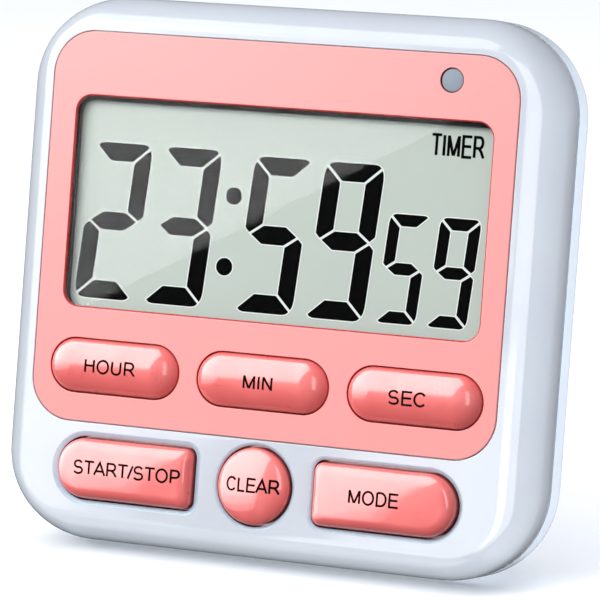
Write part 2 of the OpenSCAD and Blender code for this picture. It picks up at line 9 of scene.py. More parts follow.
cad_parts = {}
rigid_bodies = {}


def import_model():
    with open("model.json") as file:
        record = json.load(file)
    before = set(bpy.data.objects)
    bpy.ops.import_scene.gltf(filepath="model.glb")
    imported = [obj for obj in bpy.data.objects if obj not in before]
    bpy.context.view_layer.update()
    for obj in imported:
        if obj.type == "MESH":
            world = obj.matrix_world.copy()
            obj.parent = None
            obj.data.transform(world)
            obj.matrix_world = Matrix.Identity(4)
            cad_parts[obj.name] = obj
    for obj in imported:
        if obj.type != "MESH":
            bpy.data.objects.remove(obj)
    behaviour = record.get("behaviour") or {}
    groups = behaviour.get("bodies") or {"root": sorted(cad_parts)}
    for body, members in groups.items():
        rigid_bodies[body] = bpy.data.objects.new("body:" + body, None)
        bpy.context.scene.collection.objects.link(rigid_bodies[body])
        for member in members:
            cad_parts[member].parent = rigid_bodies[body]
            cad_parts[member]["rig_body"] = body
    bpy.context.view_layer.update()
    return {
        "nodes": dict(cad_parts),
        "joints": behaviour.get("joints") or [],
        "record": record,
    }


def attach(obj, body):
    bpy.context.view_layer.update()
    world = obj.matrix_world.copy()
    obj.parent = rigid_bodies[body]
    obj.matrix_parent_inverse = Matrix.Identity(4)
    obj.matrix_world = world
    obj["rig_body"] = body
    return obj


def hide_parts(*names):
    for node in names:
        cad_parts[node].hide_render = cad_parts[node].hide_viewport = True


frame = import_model()

# ---- The timer's own frame: x to the right, v up the face, z out of the face, in millimetres ----

MM = 0.001
joints = {joint["name"]: joint for joint in frame["joints"]}
OUT = -Vector(joints["clear_press"]["axis"])
RIGHT = Vector((1, 0, 0))
UP = OUT.cross(RIGHT)


def reach(node, direction):
    """How far a CAD node reaches along a direction, at both ends, in metres."""
    along = [vertex.co.dot(direction) for vertex in frame["nodes"][node].data.vertices]
    return min(along), max(along)


case_low, case_high = reach("front_case", UP)
face_level = reach("face_plate", OUT)[1]
TO_ROW = Matrix((RIGHT, UP, OUT)).transposed().to_4x4() @ Matrix.Scale(MM, 4)
TO_ROW.translation = UP * (case_low + case_high) / 2 + OUT * face_level


def flat_box(node):
    """A CAD node's lowest and highest corners in the timer's own frame, in millimetres."""
    inverse = TO_ROW.inverted()
    points = [inverse @ vertex.co for vertex in frame["nodes"][node].data.vertices]
    low = Vector([min(p[i] for p in points) for i in range(3)])
    high = Vector([max(p[i] for p in points) for i in range(3)])
    return low, high


def middle_and_size(node):
    low, high = flat_box(node)
    return (low + high) / 2, high - low


# ---- Materials ----


class Shader:
    """A Principled material with its own procedural detail."""

    def __init__(self, name, colour, roughness, **settings):
        self.material = bpy.data.materials.new(name)
        self.material.use_nodes = True
        self.tree = self.material.node_tree
        self.tree.nodes.clear()
        self.output = self.tree.nodes.new("ShaderNodeOutputMaterial")
        self.bsdf = self.tree.nodes.new("ShaderNodeBsdfPrincipled")
        self.link(self.bsdf.outputs["BSDF"], self.output.inputs["Surface"])
        self.bsdf.inputs["Base Color"].default_value = (*colour, 1)
        self.bsdf.inputs["Roughness"].default_value = roughness
        for key, value in settings.items():
            self.bsdf.inputs[key.replace("_", " ").title().replace("Ior", "IOR")].default_value = value
        self.colour = colour
        self.roughness = roughness
        self.place = self.tree.nodes.new("ShaderNodeTexCoord").outputs["Object"]

    def link(self, a, b):
        self.tree.links.new(a, b)

    def node(self, kind, **inputs):
        node = self.tree.nodes.new(kind)
        for key, value in inputs.items():
            socket = node.inputs[key.replace("_", " ")]
            if hasattr(value, "links"):
                self.link(value, socket)
            else:
                socket.default_value = value
        return node

    def noise(self, size_mm, stretch=(1, 1, 1), detail=3.0):
        scaled = self.node("ShaderNodeMapping", Vector=self.place, Scale=stretch)
        return self.node("ShaderNodeTexNoise", Vector=scaled.outputs["Vector"], Scale=1 / (size_mm * MM),
                         Detail=detail).outputs["Fac"]

    def spread(self, value, low, high, start=0.3, stop=0.7):
        return self.node("ShaderNodeMapRange", Value=value, **{"From_Min": start, "From_Max": stop,
                         "To_Min": low, "To_Max": high}).outputs["Result"]

    def blend(self, value, a, b):
        mix = self.tree.nodes.new("ShaderNodeMix")
        mix.data_type = "RGBA"
        self.link(value, mix.inputs["Factor"])
        for socket, colour in ((mix.inputs[6], a), (mix.inputs[7], b)):
            if hasattr(colour, "links"):
                self.link(colour, socket)
            else:
                socket.default_value = (*colour, 1)
        return mix.outputs[2]

    def vary_colour(self, size_mm, amount, tint=(1, 1, 1)):
        pale = [min(1, c * (1 + amount)) for c in self.colour]
        deep = [c * (1 - amount) * t for c, t in zip(self.colour, tint)]
        self.paint(self.blend(self.spread(self.noise(size_mm), 0, 1), deep, pale))

    def paint(self, colour):
        self.link(colour, self.bsdf.inputs["Base Color"])

    def vary_roughness(self, size_mm, amount, stretch=(1, 1, 1)):
        low, high = max(0.01, self.roughness - amount), self.roughness + amount
        self.link(self.spread(self.noise(size_mm, stretch), low, high), self.bsdf.inputs["Roughness"])

    def bump(self, height, strength, depth_mm):
        bump = self.node("ShaderNodeBump", Height=height, Strength=strength, Distance=depth_mm * MM)
        self.link(bump.outputs["Normal"], self.bsdf.inputs["Normal"])


def gloss(name, colour, roughness=0.12, peel=0.05, tint=(0.97, 0.98, 1), **settings):
    """Injection-moulded glossy plastic: faint flow clouding, an uneven polish and a slight orange peel."""
    shader = Shader(name, colour, roughness, **settings)
    shader.vary_colour(9, 0.012, tint)
    shader.vary_roughness(2.5, roughness * 0.3)
    shader.bump(shader.noise(1.6, detail=2), peel, 0.02)
    return shader.material


def satin(name, colour, roughness, grain_mm=0.12, depth=0.25, amount=0.03, clouding=0.05, **settings):
    """Fine-textured plastic or rubber. amount varies its colour, and clouding its roughness."""
    shader = Shader(name, colour, roughness, **settings)
    shader.vary_colour(6, amount)
    shader.vary_roughness(1.2, clouding)
    shader.bump(shader.noise(grain_mm, detail=4), depth, 0.02)
    return shader.material


def metal(name, colour, roughness, stretch=(1, 30, 30)):
    """Stamped or drawn metal with fine lines along X."""
    shader = Shader(name, colour, roughness, metallic=1.0)
    shader.vary_colour(4, 0.05)
    shader.vary_roughness(3, 0.08, stretch)
    shader.bump(shader.noise(3, stretch), 0.15, 0.01)
    return shader.material


def speckled(name, colour, other, size_mm, roughness):
    """A body with a fine scatter of a second tone, such as ferrite or ceramic."""
    shader = Shader(name, colour, roughness)
    cells = shader.node("ShaderNodeTexVoronoi", Vector=shader.place, Scale=1 / (size_mm * MM))
    shader.paint(shader.blend(shader.spread(cells.outputs["Distance"], 0, 1, 0.1, 0.6), other, colour))
    shader.vary_roughness(1, 0.08)
    shader.bump(shader.noise(size_mm), 0.2, 0.02)
    return shader.material


def board_green():
    """Solder mask with copper traces showing through as paler lines."""
    mask, trace = (0.02, 0.16, 0.07), (0.05, 0.26, 0.1)
    shader = Shader("board_green", mask, 0.35, coat_weight=0.4)
    traces = shader.node("ShaderNodeTexBrick", Vector=shader.place, Scale=90, Mortar_Size=0.02)
    shader.paint(shader.blend(traces.outputs["Fac"], mask, trace))
    shader.vary_roughness(2, 0.08)
    shader.bump(traces.outputs["Fac"], 0.3, 0.03)
    return shader.material


def battery_sleeve():
    """A printed sleeve: blue, with a silver band at the positive end and bare steel at its tip."""
    blue, silver, steel = (0.03, 0.1, 0.35), (0.75, 0.72, 0.65), (0.6, 0.6, 0.62)
    band_length, tip_length, fade = 11, 1.6, 0.1
    shader = Shader("battery_blue", blue, 0.3, coat_weight=0.5)
    end = flat_box("battery_cell")[1].x
    across = shader.node("ShaderNodeSeparateXYZ", Vector=shader.place).outputs["X"]
    band, tip = (shader.spread(across, 0, 1, (end - length) * MM, (end - length + fade) * MM)
                 for length in (band_length, tip_length))
    shader.paint(shader.blend(tip, shader.blend(band, blue, silver), steel))
    shader.vary_roughness(2, 0.08)
    shader.bump(shader.noise(0.8), 0.1, 0.02)
    return shader.material


def clear_pane(name, tint):
    """Clear plastic that lets light straight through, with a faint mirror on it."""
    material = bpy.data.materials.new(name)
    material.use_nodes = True
    tree = material.node_tree
    tree.nodes.clear()
    output = tree.nodes.new("ShaderNodeOutputMaterial")
    through = tree.nodes.new("ShaderNodeBsdfTransparent")
    through.inputs["Color"].default_value = (*tint, 1)
    shine = tree.nodes.new("ShaderNodeBsdfGlossy")
    shine.inputs["Roughness"].default_value = 0.004
    weight = tree.nodes.new("ShaderNodeLayerWeight")
    weight.inputs["Blend"].default_value = 0.1
    place = tree.nodes.new("ShaderNodeTexCoord")
    noise = tree.nodes.new("ShaderNodeTexNoise")
    noise.inputs["Scale"].default_value = 60
    bump = tree.nodes.new("ShaderNodeBump")
    bump.inputs["Strength"].default_value = 0.02
    bump.inputs["Distance"].default_value = 0.00002
    mix = tree.nodes.new("ShaderNodeMixShader")
    tree.links.new(place.outputs["Object"], noise.inputs["Vector"])
    tree.links.new(noise.outputs["Fac"], bump.inputs["Height"])
    tree.links.new(bump.outputs["Normal"], shine.inputs["Normal"])
    tree.links.new(weight.outputs["Fresnel"], mix.inputs["Fac"])
    tree.links.new(through.outputs["BSDF"], mix.inputs[1])
    tree.links.new(shine.outputs["BSDF"], mix.inputs[2])
    tree.links.new(mix.outputs["Shader"], output.inputs["Surface"])
    return material


CASE = gloss("case_white", (0.565, 0.598, 0.642), 0.08, coat_weight=0.3, coat_roughness=0.05)
# The bevels round the lower buttons: the case's plastic, rougher, and darker and bluer as painted shade
BEVEL = gloss("case_bevel_painted_shade", (0.37, 0.45, 0.52), 0.3)
# Near black on the walls of the lower buttons' holes, below their bevels: painted shade in the gaps
GAP_SHADE = satin("gap_painted_shade", (0.02, 0.021, 0.024), 0.6, grain_mm=0.3)
SHELL = gloss("shell_white", (0.60, 0.65, 0.72), 0.12)
# Dark red on the plate's cut edges, in its window and holes: painted shade on the pink plate
PLATE_EDGE_SHADE = gloss("plate_edge_painted_shade", (0.55, 0.035, 0.03), 0.3)
PLATE = satin("plate_pink", (1.0, 0.385, 0.365), 0.26, grain_mm=0.2, depth=0.02, amount=0.004, clouding=0.01)
BUTTON = gloss("button_coral", (0.88, 0.16, 0.148), 0.38, coat_weight=0.8, coat_roughness=0.05,
               tint=(1, 0.93, 0.93))
INK = satin("ink_black", (0.003, 0.003, 0.003), 0.5, grain_mm=0.08, depth=0.1, specular_ior_level=0.1)
SEGMENT = satin("segment_black", (0.002, 0.002, 0.002), 0.6, grain_mm=0.1, depth=0.05,
                specular_ior_level=0.02)
HALO = satin("segment_edge", (0.96, 1.0, 0.97), 0.6, grain_mm=0.1, depth=0.05, specular_ior_level=0.1)
ALERT = gloss("alert_grey", (0.33, 0.38, 0.43), 0.25)

MATERIALS = {
    "clear_lens": clear_pane("clear_lens", (0.985, 0.99, 0.985)),
    # The gasket's black band that shows along the top of the window stands in for the shade there: painted
    # shade
    "gasket_black": satin("gasket_black", (0.03, 0.03, 0.03), 0.85, grain_mm=0.3, depth=0.5),
    "lcd_film": satin("lcd_film", (0.57, 0.62, 0.57), 0.55, grain_mm=0.1, depth=0.04, amount=0.01,
                      specular_ior_level=0.1),
    "lcd_glass": clear_pane("lcd_glass", (0.94, 0.98, 0.96)),
    "reflector_silver": metal("reflector_silver", (0.8, 0.81, 0.8), 0.45),
    "holder_white": satin("holder_white", (0.75, 0.75, 0.72), 0.5),
    "zebra_grey": satin("zebra_grey", (0.1, 0.1, 0.11), 0.7, grain_mm=0.4, depth=0.5, amount=0.3),
    "board_green": board_green(),
    "chip_black": satin("chip_black", (0.015, 0.015, 0.016), 0.3, grain_mm=0.5),
    "tinned_metal": metal("tinned_metal", (0.72, 0.71, 0.68), 0.25),
    "coil_black": satin("coil_black", (0.03, 0.03, 0.035), 0.35),
    "capacitor_tan": speckled("capacitor_tan", (0.42, 0.3, 0.16), (0.3, 0.2, 0.1), 0.2, 0.4),
    "led_red": gloss("led_red", (0.6, 0.03, 0.02), 0.08),
    "alert_grey": ALERT,
    "keypad_grey": satin("keypad_grey", (0.5, 0.5, 0.48), 0.75),
    "carbon_black": satin("carbon_black", (0.02, 0.02, 0.02), 0.8),
    "buzzer_brass": metal("buzzer_brass", (0.78, 0.56, 0.22), 0.3),
    "buzzer_white": speckled("buzzer_white", (0.75, 0.74, 0.7), (0.6, 0.6, 0.58), 0.3, 0.35),
    "lead_red": satin("lead_red", (0.45, 0.02, 0.015), 0.45),
    "lead_black": satin("lead_black", (0.02, 0.02, 0.02), 0.45),
    "battery_blue": battery_sleeve(),
    "magnet_dark": speckled("magnet_dark", (0.06, 0.06, 0.065), (0.12, 0.12, 0.125), 0.25, 0.45),
    "switch_metal": metal("switch_metal", (0.66, 0.66, 0.68), 0.3),
    "knob_black": satin("knob_black", (0.03, 0.03, 0.033), 0.45),
    "case_white": CASE,
    "shell_white": SHELL,
    "plate_pink": PLATE,
    "button_coral": BUTTON,
}

for part in frame["record"]["subparts"]:
    data = frame["nodes"][part["node"]].data
    data.materials.clear()
    data.materials.append(MATERIALS[part["material_slot"]])

# ---- Mesh building ----

CORNER_STEPS = 16
LEAST_R = 0.02


def rounded(centre, size, radii, grow=0.0, pull=(1, 1, 1, 1), side_steps=1):
    """A rounded rectangle grown by that much, counterclockwise. radii run from the top right corner round
    to the bottom right, and change by pull times the growth. side_steps is how many steps each straight
    side has."""
    points = []
    for turn, (sx, sy) in enumerate(((1, 1), (-1, 1), (-1, -1), (1, -1))):
        r = max(radii[turn] + grow * pull[turn], LEAST_R)
        cx = centre[0] + sx * (size[0] / 2 + grow - r)
        cy = centre[1] + sy * (size[1] / 2 + grow - r)
        for i in range(CORNER_STEPS + 1):
            angle = math.radians(90 * (turn + i / CORNER_STEPS))
            points.append((cx + r * math.cos(angle), cy + r * math.sin(angle)))
    if side_steps == 1:
        return points
    arc_points = CORNER_STEPS + 1
    filled = []
    for turn in range(4):
        filled += points[turn * arc_points:(turn + 1) * arc_points]
        a, b = Vector(filled[-1]), Vector(points[(turn + 1) % 4 * arc_points])
        filled += [tuple(a.lerp(b, i / side_steps)) for i in range(1, side_steps)]
    return filled


class Outline:
    """A rounded rectangle that a mesh is built on."""

    def __init__(self, centre, size, radii, side_steps=1):
        self.centre, self.size, self.side_steps = centre, size, side_steps
        self.radii = [radii] * 4 if isinstance(radii, (int, float)) else list(radii)

    def points(self, grow=0.0, pull=1.0):
        pulls = [pull] * 4 if isinstance(pull, (int, float)) else pull
        return rounded(self.centre, self.size, self.radii, grow, pulls, self.side_steps)

    def inset(self, x, y):
        """How far inside its edge a point lies."""
        dx, dy = x - self.centre[0], y - self.centre[1]
        turn = (0 if dx > 0 else 1) if dy > 0 else (3 if dx > 0 else 2)
        r = self.radii[turn]
        ex, ey = abs(dx) - (self.size[0] / 2 - r), abs(dy) - (self.size[1] / 2 - r)
        return r - math.hypot(max(ex, 0), max(ey, 0)) - min(max(ex, ey), 0)


class Solid:
    """A closed mesh built from rings, caps and bars, in the timer's own frame. coat is the place, in the
    finished piece's list of materials, of the one that its next faces get."""

    def __init__(self):
        self.mesh = bmesh.new()
        self.coat = 0

    def ring(self, points, z):
        return [self.mesh.verts.new((x, y, z)) for x, y in points]

    def face(self, corners):
        corners = list(dict.fromkeys(corners))
        if len(corners) > 2:
            self.mesh.faces.new(corners).material_index = self.coat

    def join(self, a, b):
        for i in range(len(a)):
            k = (i + 1) % len(a)
            self.face((a[i], a[k], b[k], b[i]))

    def sweep(self, outline, profile, pull=1.0):
        """Rings at each (grow, z) of the profile, joined in order. Returns the first and the last ring."""
        rings = [self.ring(outline.points(grow, pull), z) for grow, z in profile]
        for a, b in zip(rings, rings[1:]):
            self.join(a, b)
        return rings[0], rings[-1]

    def cap(self, outer, *holes):
        rings = [outer, *holes]
        corners = [v for ring in rings for v in ring]
        for triangle in tessellate_polygon([[v.co for v in ring] for ring in rings]):
            self.face([corners[i] for i in triangle])

    def strips(self, ring, side_steps):
        """Closes a ring that is alike above and below, with strips from its upper half to its lower half."""
        lead = side_steps // 2
        ring = ring[len(ring) - lead:] + ring[:len(ring) - lead]
        lower = ([ring[0]] if lead else []) + ring[::-1]
        half = len(ring) // 2 + (1 if lead else 0)
        for i in range(half - 1):
            self.face((ring[i], ring[i + 1], lower[i + 1], lower[i]))

    def prism(self, points, z_top, z_low):
        """A flat outline with straight sides."""
        top, low = self.ring(points, z_top), self.ring(points, z_low)
        self.join(top, low)
        self.cap(top)
        self.cap(low)

    def ribbon(self, path, width, top, low, height, closed=False):
        """A flat bar along a path, lying on a surface."""
        stations = []
        count = len(path)
        for i, point in enumerate(path):
            before = path[i - 1] if closed or i > 0 else point
            after = path[(i + 1) % count] if closed or i < count - 1 else point
            a, b = Vector(point) - Vector(before), Vector(after) - Vector(point)
            a = a.normalized() if a.length > 1e-9 else b.normalized()
            b = b.normalized() if b.length > 1e-9 else a
            along = (a + b).normalized() if (a + b).length > 0.2 else b
            across = Vector((-along.y, along.x))
            side = across * width / 2 / max(0.35, across.dot(Vector((-b.y, b.x))))
            corners = []
            for sign, lift in ((1, top), (-1, top), (-1, low), (1, low)):
                x, y = Vector(point) + side * sign
                corners.append(self.mesh.verts.new((x, y, height(x, y) + lift)))
            stations.append(corners)
        for a, b in zip(stations, stations[1:] + ([stations[0]] if closed else [])):
            self.join(a, b)
        if not closed:
            self.face(stations[0])
            self.face(stations[-1])


# An edge over this many degrees stays sharp
SHARP = 38


def finish(name, solid, body, slot, material, replaces=(), sharp=SHARP):
    """Closes a Solid, carries it to the row frame and fixes it to its body."""
    bm = solid.mesh
    bmesh.ops.remove_doubles(bm, verts=bm.verts, dist=1e-5)
    bmesh.ops.recalc_face_normals(bm, faces=bm.faces)
    bmesh.ops.transform(bm, matrix=TO_ROW, verts=bm.verts)
    for face in bm.faces:
        face.smooth = True
    data = bpy.data.meshes.new(name)
    bm.to_mesh(data)
    bm.free()
    return settle(name, data, body, slot, material, replaces, sharp)


def settle(name, data, body, slot, material, replaces, sharp):
    """Makes a piece of a mesh and fixes it to its body."""
    data.set_sharp_from_angle(angle=math.radians(sharp))
    data.materials.append(material)
    piece = bpy.data.objects.new(name, data)
    bpy.context.scene.collection.objects.link(piece)
    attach(piece, body)
    if replaces:
        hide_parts(*replaces)
    return piece


def refined(node, edge_mm):
    """A smooth copy of a CAD node, with its sharp edges softened."""
    source = frame["nodes"][node]
    part = next(p for p in frame["record"]["subparts"] if p["node"] == node)
    bm = bmesh.new()
    bm.from_mesh(source.data)
    bmesh.ops.remove_doubles(bm, verts=bm.verts, dist=2e-6)
    bmesh.ops.dissolve_limit(bm, angle_limit=math.radians(0.6), verts=bm.verts, edges=bm.edges)
    for face in bm.faces:
        face.smooth = True
    data = bpy.data.meshes.new(node + "_moulded")
    bm.to_mesh(data)
    bm.free()
    slot = part["material_slot"]
    piece = settle(node + "_moulded", data, source["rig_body"], slot, MATERIALS[slot], (node,), SHARP)
    bevel = piece.modifiers.new("edges", "BEVEL")
    bevel.width = edge_mm * MM
    bevel.segments = 2
    bevel.limit_method = "ANGLE"
    bevel.angle_limit = math.radians(SHARP)
    weighted = piece.modifiers.new("shading", "WEIGHTED_NORMAL")
    weighted.keep_sharp = False
    weighted.weight = 80


def quarter(grow, z, reach_in, deep, steps, flat):
    """A rounded edge's profile, from a flat top inwards of it to its side at (grow, z - deep)."""
    profile = [(grow - reach_in - flat, z)]
    for i in range(steps + 1):
        angle = math.radians(90 * i / steps)
        profile.append((grow - reach_in * (1 - math.sin(angle)), z - deep * (1 - math.cos(angle))))
    return profile


def chamfer(grow, width, deep, ease=0.12):
    """The sloping edge of a hole, from the face down into it, slightly rounded at both ends."""
    slope = math.hypot(width, deep)
    run, drop = ease * width / slope, ease * deep / slope
    outside = grow + width
    return [(outside + ease + 0.05, 0), (outside + ease * 0.8, 0), (outside + ease * 0.2, -drop * 0.3),
            (outside - run, -drop), (grow + run, drop - deep), (grow + run * 0.15, -deep),
            (grow, -deep - ease)]


def hole_edge(grow, z, radius, steps=3, flat=0.04):
    """The rounded edge of a hole, from the flat face down into it."""
    return [(-g, level) for g, level in quarter(-grow, z, radius, radius, steps, flat)]


# ---- Outlines, from the CAD nodes ----

# The room that a piece has in the place it is let into
GAP = 0.15
# How much smaller a cap is than its CAD node's outline, and how much larger its hole, on each side
CAP_IN = 0.12
OVAL_GAP = 0.05
BUTTON_GAP = 0.22
case_mid, case_size = middle_and_size("front_case")
seam_level = flat_box("front_case")[0].z
CASE_R = 14.2
FACE_ROUND_IN, FACE_ROUND_DEEP = 4.6, 7
case_line = Outline(case_mid, case_size, CASE_R)
plate_mid, plate_size = middle_and_size("face_plate")
plate_back = flat_box("face_plate")[0].z
# The plate is this much narrower and lower than its CAD node, at its right and its top
PLATE_TRIM = Vector((0.3, 0.25, 0))
PLATE_R = 6.4
plate_line = Outline(plate_mid - PLATE_TRIM / 2, plate_size - PLATE_TRIM, PLATE_R)
lens_mid, lens_size = middle_and_size("display_lens")
# The lens reaches this far behind the plate, and the window's top edge is lower by its trim
LENS_OVER = 1.9
WINDOW_TRIM = Vector((0, 0.3, 0))
WINDOW_R = 2.4
window_size = lens_size - Vector((2 * LENS_OVER, 2 * LENS_OVER, 0)) - WINDOW_TRIM
window_line = Outline(lens_mid - WINDOW_TRIM / 2, window_size, WINDOW_R)
# The flange that holds a button in: its width, its thickness and its front
FLANGE_OVER = 0.9
FLANGE_T = 0.9
FLANGE_FRONT = -2.35


def button_line(node, radii, side_steps=1, trim=0.0):
    """A button's outline without its flange, drawn in by trim on every side."""
    middle, size = middle_and_size(node)
    inwards = 2 * (FLANGE_OVER + trim)
    return Outline(middle, size - Vector((inwards, inwards, 0)), radii, side_steps)


# A round end's radius is this much under half its height, so that its two arcs don't end in one point
SLACK = 0.001
OVAL, CLEAR_R = 4.1, 5.8
ROUND_END, SQUARE_END = 4.75 - SLACK, 1.4
START_TRIM = 0.16
START_END = ROUND_END - START_TRIM
WIDE_STEPS = 14
OVALS = ("hour_button", "minute_button", "second_button")
LOWER = ("start_stop_button", "clear_button", "mode_button")
LINES = {name: button_line(name, OVAL - SLACK) for name in OVALS} | {
    "start_stop_button": button_line("start_stop_button", (SQUARE_END, START_END, START_END, SQUARE_END),
                                     WIDE_STEPS, START_TRIM),
    "mode_button": button_line("mode_button", (ROUND_END, SQUARE_END, SQUARE_END, ROUND_END), WIDE_STEPS),
    "clear_button": button_line("clear_button", CLEAR_R - SLACK),
}
BEVEL_WIDTH = {"start_stop_button": 0.6, "clear_button": 0.35, "mode_button": 0.42}
led_mid = middle_and_size("alert_lens")[0]
LED_R = 1.72
led_line = Outline(led_mid, (2 * LED_R, 2 * LED_R), LED_R - SLACK)

# ---- Front shell ----

# The side wall below and above its shoulder, the shoulder's level, and the inside of the face
WALL, THICK_WALL, SHOULDER, FACE_INSIDE = 1.7, 3.2, -4.6, -2.2
BEVEL_DEEP, BEVEL_LOW = 0.3, -0.5
WINDOW_ROOM = 1.05


def front_shell():
    solid = Solid()
    plain, shaded_bevel, gap_shade = range(3)
    low = seam_level
    # The rounding is a little narrower at the corners, where it has to leave room for the plate
    face, rim = solid.sweep(case_line, quarter(0, 0, FACE_ROUND_IN, FACE_ROUND_DEEP, 18, 0.05), 1.6)
    side, inner = solid.sweep(case_line, [(0, low + 0.25), (-0.07, low + 0.07), (-0.25, low), (-WALL, low),
                                          (-WALL, SHOULDER), (-THICK_WALL, SHOULDER),
                                          (-THICK_WALL, FACE_INSIDE)])
    solid.join(rim, side)
    recess_top, recess_low = solid.sweep(plate_line, hole_edge(GAP, 0, 0.1, flat=0.02) + [(GAP, plate_back)])
    through = []
    openings = [(window_line, WINDOW_ROOM)] + [(LINES[name], 2 * GAP) for name in OVALS] + [(led_line, GAP)]
    floor = []
    for line, grow in openings:
        top, bottom = solid.sweep(line, [(grow, plate_back), (grow, FACE_INSIDE)])
        floor.append(top)
        through.append(bottom)
    solid.cap(recess_low, *floor)
    holes = [recess_top]
    for name in LOWER:
        # The bevel: a rougher copy of the case's plastic, darker and bluer as painted shade
        solid.coat = shaded_bevel
        top, edge = solid.sweep(LINES[name], chamfer(BUTTON_GAP, BEVEL_WIDTH[name], BEVEL_DEEP))
        # The hole's wall below the bevel: near black, painted shade
        solid.coat = gap_shade
        wall, bottom = solid.sweep(LINES[name], [(BUTTON_GAP, BEVEL_LOW), (BUTTON_GAP, FACE_INSIDE)])
        solid.join(edge, wall)
        solid.coat = plain
        holes.append(top)
        through.append(bottom)
    solid.cap(face, *holes)
    solid.cap(inner, *through)
    shell = finish("front_shell", solid, "case", "case_white", CASE, ("front_case",))
    shell.data.materials.append(BEVEL)
    shell.data.materials.append(GAP_SHADE)


front_shell()

# ---- Plate ----

# The plate's own edge, its window's edge, and the gap and edge of its holes for the ovals and the alert light
PLATE_ROUND, WINDOW_ROUND = 0.12, 0.32
OVAL_HOLE, LED_HOLE = (OVAL_GAP, 0.1), (0.1, 0.08)


def plate():
    solid = Solid()
    plain, cut_shade = range(2)
    outer_top, outer_low = solid.sweep(plate_line, quarter(0, 0, PLATE_ROUND, PLATE_ROUND, 3, 0.04)
                                       + [(0, plate_back)])
    tops, lows = [outer_top], [outer_low]
    over = LENS_OVER + GAP
    lens_front = flat_box("display_lens")[1].z
    # Only the beginning of the window's edge is pink; the rest is a darker red, painted shade
    edge = hole_edge(0, 0, WINDOW_ROUND, 6)
    top, lip = solid.sweep(window_line, edge[:3])
    solid.coat = cut_shade
    cut, low = solid.sweep(window_line, edge[3:] + [(0, lens_front), (over, lens_front), (over, plate_back)])
    solid.join(lip, cut)
    tops.append(top)
    lows.append(low)
    # The holes' walls are dark red too: painted shade
    for line, (grow, edge) in [(LINES[name], OVAL_HOLE) for name in OVALS] + [(led_line, LED_HOLE)]:
        solid.coat = plain
        top, lip = solid.sweep(line, hole_edge(grow, 0, edge))
        solid.coat = cut_shade
        cut, low = solid.sweep(line, [(grow, -2 * edge), (grow, plate_back)])
        solid.join(lip, cut)
        tops.append(top)
        lows.append(low)
    solid.coat = plain
    solid.cap(*tops)
    solid.cap(*lows)
    skin = finish("plate_skin", solid, "case", "plate_pink", PLATE, ("face_plate",))
    skin.data.materials.append(PLATE_EDGE_SHADE)


plate()

# ---- Buttons ----

RISE = flat_box("minute_button")[1].z
# How far the domes drop to their edges, and how far in, and down, a wide button's edge is rounded
OVAL_DEEP, CLEAR_DEEP = 2.4, 1.8
WIDE_IN, WIDE_DEEP, WIDE_CROWN = 1.7, 1.8, 0.5


def dome_height(inset, half, deep):
    """The surface of a domed button at that distance in from its edge."""
    inwards = min(max(inset, 0) / half, 1)
    return RISE - deep + deep * math.sqrt(1 - (1 - inwards) ** 2)


def wide_height(line, x, y, inset):
    """The surface of the start and mode buttons: a rounded edge and a crowned top."""
    edge = 1 - min(max(inset, 0) / WIDE_IN, 1)
    across, up = 2 * (x - line.centre[0]) / line.size[0], 2 * (y - line.centre[1]) / line.size[1]
    bowed = max(1 - across * across, 0) * max(1 - up * up, 0)
    return RISE - WIDE_DEEP + (WIDE_DEEP - WIDE_CROWN) * math.sqrt(1 - edge * edge) + WIDE_CROWN * bowed


def level_at(name, x, y, inset):
    """A button's height at a place on the face, which lies that far in from its edge."""
    if name in OVALS:
        return dome_height(inset, OVAL, OVAL_DEEP)
    if name == "clear_button":
        return dome_height(inset, CLEAR_R, CLEAR_DEEP)
    return wide_height(LINES[name], x, y, inset)


def surface(name):
    """A button's height as a function of the place on the face."""
    line = LINES[name]
    return lambda x, y: level_at(name, x, y, line.inset(x, y) - CAP_IN)


RINGS = 22
# The stem's size, which presses on the keypad, and the innermost ring's half width
STEM, CLEAR_STEM, STEM_R, STEM_EDGE = (8, 3), (6, 3), 1.4, 0.2
SPINE = 0.2


def button(name):
    """A cap of rings that close in on its middle line, with its flange and stem."""
    solid = Solid()
    line = LINES[name]
    stem_end = flat_box(name)[0].z
    flange_back = FLANGE_FRONT - FLANGE_T
    half = min(line.size[0], line.size[1]) / 2
    reach_in = half - CAP_IN
    insets = [reach_in * (1 - math.cos(math.radians(90 * i / RINGS))) for i in range(RINGS - 1)]
    insets.append(reach_in - SPINE)
    rings = []
    for inset in reversed(insets):
        outline = line.points(-inset - CAP_IN, [min(r / half, 1) for r in line.radii])
        rings.append([solid.mesh.verts.new((x, y, level_at(name, x, y, inset))) for x, y in outline])
    for a, b in zip(rings, rings[1:]):
        solid.join(a, b)
    side, bottom = solid.sweep(line, [(-CAP_IN, FLANGE_FRONT), (FLANGE_OVER, FLANGE_FRONT),
                                      (FLANGE_OVER, flange_back)])
    solid.join(rings[-1], side)
    solid.strips(rings[0], line.side_steps)
    stem = Outline(line.centre, CLEAR_STEM if name == "clear_button" else STEM, STEM_R)
    stem_top, stem_low = solid.sweep(stem, [(0, flange_back), (0, stem_end + STEM_EDGE),
                                            (-STEM_EDGE, stem_end)])
    solid.cap(bottom, stem_top)
    solid.cap(stem_low)
    finish(name + "_cap", solid, name, "button_coral", BUTTON, (name,), 60)


for name in LINES:
    button(name)

# ---- Lettering ----


def arc(cx, cy, rx, ry, start, stop, steps=14):
    return [(cx + rx * math.cos(math.radians(start + (stop - start) * i / steps)),
             cy + ry * math.sin(math.radians(start + (stop - start) * i / steps))) for i in range(steps + 1)]


BOWL_S = arc(0.455, 0.735, 0.31, 0.265, 25, 250, 14) + arc(0.455, 0.255, 0.345, 0.255, 62, -155, 16)
